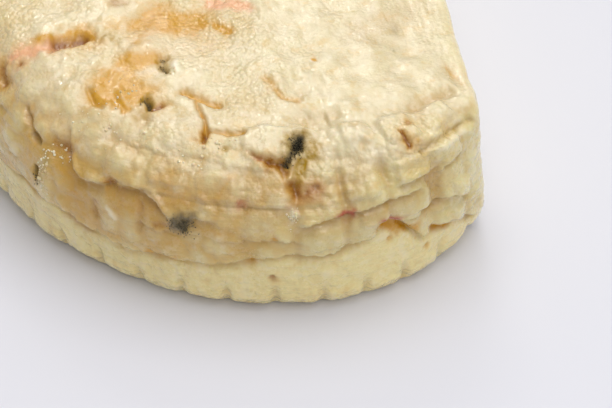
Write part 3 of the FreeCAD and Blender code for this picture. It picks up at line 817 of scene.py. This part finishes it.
points, quads, tips = threads(seats, lean_way, length, curl, THREAD_RADIUS)
head_size = draw.uniform(0.6, 1.25, len(seats))[:, None] * HEAD_RADIUS * np.ones(3)
heads, head_quads, head_fans = balls(tips, head_size, 3, 6)
head_from = len(points)
tufts = bpy.data.objects.new("mould_tufts", mesh_from(
    "mould_tufts", np.concatenate([points, heads]), np.concatenate([quads, head_quads + head_from]),
    head_fans + head_from))
bpy.context.collection.objects.link(tufts)
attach(tufts, "root")
is_head = np.zeros(len(tufts.data.vertices), np.float32)
on_grey = np.where(np.abs(seats[:, 0] - GREY_X) < GREY_REACH, GREY_TONE, 1.0)
is_head[head_from:] = np.repeat(on_grey, len(heads) // len(seats))
layer = tufts.data.attributes.new("head", "FLOAT", "POINT")
layer.data.foreach_set("value", is_head)

# Bread-mould threads and spore heads: pale grey threads, heads from black to olive grey, no gloss.
mould = bpy.data.materials.new("mould threads and spores")
mould.use_nodes = True
tree = mould.node_tree
shader = tree.nodes["Principled BSDF"]
place = add(tree, "ShaderNodeTexCoord").outputs["Object"]
head = add(tree, "ShaderNodeAttribute", {"attribute_name": "head"}).outputs["Fac"]
tone = add(tree, "ShaderNodeTexNoise", {"Scale": 1 / (0.8 * MM), "Detail": 2.0}, {"Vector": place})
toned = add(tree, "ShaderNodeMapRange", {"From Min": 0.42, "From Max": 0.68},
            {"Value": tone.outputs["Fac"]})
spores = add(tree, "ShaderNodeMix",
             {"data_type": "RGBA", MIX_A: linear("#17130c"), MIX_B: linear("#4f4a36")},
             {0: toned.outputs[0]})
colour = add(tree, "ShaderNodeMix", {"data_type": "RGBA", MIX_A: linear("#8c8060")},
             {0: head, MIX_B: spores.outputs[MIX_OUT]})
tree.links.new(colour.outputs[MIX_OUT], shader.inputs["Base Color"])
shader.inputs["Roughness"].default_value = 0.9
shader.inputs["Specular IOR Level"].default_value = 0.2
tufts.data.materials.append(mould)

# ---------------------------------------------------------------------------------------------
# The table: a plain white board, three metres each way so that its edges stay out of sight. It
# is a stage floor, not a part of the cheese.
# ---------------------------------------------------------------------------------------------
floor_mesh = bpy.data.meshes.new("table")
reach = 3.0
floor_mesh.from_pydata([(-reach, -reach, 0), (reach, -reach, 0), (reach, reach, 0), (-reach, reach, 0)],
                       [], [(0, 1, 2, 3)])
floor = bpy.data.objects.new("table", floor_mesh)
bpy.context.collection.objects.link(floor)

# White laminate: a printed sheet under clear resin, plain, cool white and barely glossy.
laminate = bpy.data.materials.new("white laminate")
laminate.use_nodes = True
shader = laminate.node_tree.nodes["Principled BSDF"]
shader.inputs["Base Color"].default_value = linear("#e1e1e7")
shader.inputs["Roughness"].default_value = 0.6
floor_mesh.materials.append(laminate)


def area_light(name, place, aim, width, power, colour):
    """A square soft light at place, facing aim."""
    lamp = bpy.data.lights.new(name, "AREA")
    lamp.size = width
    lamp.energy = power
    lamp.color = linear(colour)[:3]
    holder = bpy.data.objects.new(name, lamp)
    holder.location = place
    holder.rotation_euler = (Vector(aim) - Vector(place)).to_track_quat("-Z", "Y").to_euler()
    bpy.context.collection.objects.link(holder)
    return holder


# A wide ceiling light, a smaller window and a cool room behind the viewer. Two small glint lamps
# show only in the gloss, as the sharp highlights of a wet surface.
bpy.context.scene.view_settings.view_transform = "Standard"
LIT_SPOT, WARM_WHITE, COOL_WHITE = (0, -0.1, 0), "#fffdf8", "#f4f6ff"
area_light("ceiling light", (0.14, 0.12, 1.3), LIT_SPOT, 1.1, 8.9, WARM_WHITE)
area_light("window light", (0.1, 1.25, 1.15), LIT_SPOT, 0.6, 3.0, WARM_WHITE)
for number, (spot, power) in enumerate([((-0.12, 1.1, 1.05), 2.4), ((0.15, -0.75, 1.15), 1.5)]):
    glint = area_light(f"glint lamp {number}", spot, LIT_SPOT, 0.14, power, WARM_WHITE)
    glint.visible_diffuse = False
area_light("room light", (0.5, -0.9, 1.1), LIT_SPOT, 1.6, 7.8, COOL_WHITE)
world = bpy.data.worlds.new("studio")
world.use_nodes = True
world.node_tree.nodes["Background"].inputs["Color"].default_value = linear("#f2f3f8")
world.node_tree.nodes["Background"].inputs["Strength"].default_value = 0.45
bpy.context.scene.world = world

# The camera: a long lens half a metre from the near corner, 45 degrees down, with the cut face
# just hidden on the right.
AIM = Vector((31.0, -103.9, 0.0)) * MM
LOOK, DOWN, AWAY = np.radians(7.7), np.radians(45.0), 0.5
lens = bpy.data.cameras.new("camera")
lens.lens, lens.sensor_width = 100.0, 36.0
camera = bpy.data.objects.new("camera", lens)
forward = Vector((np.sin(LOOK) * np.cos(DOWN), np.cos(LOOK) * np.cos(DOWN), -np.sin(DOWN)))
camera.location = AIM - forward * AWAY
camera.rotation_euler = forward.to_track_quat("-Z", "Y").to_euler()
bpy.context.collection.objects.link(camera)
bpy.context.scene.camera = camera
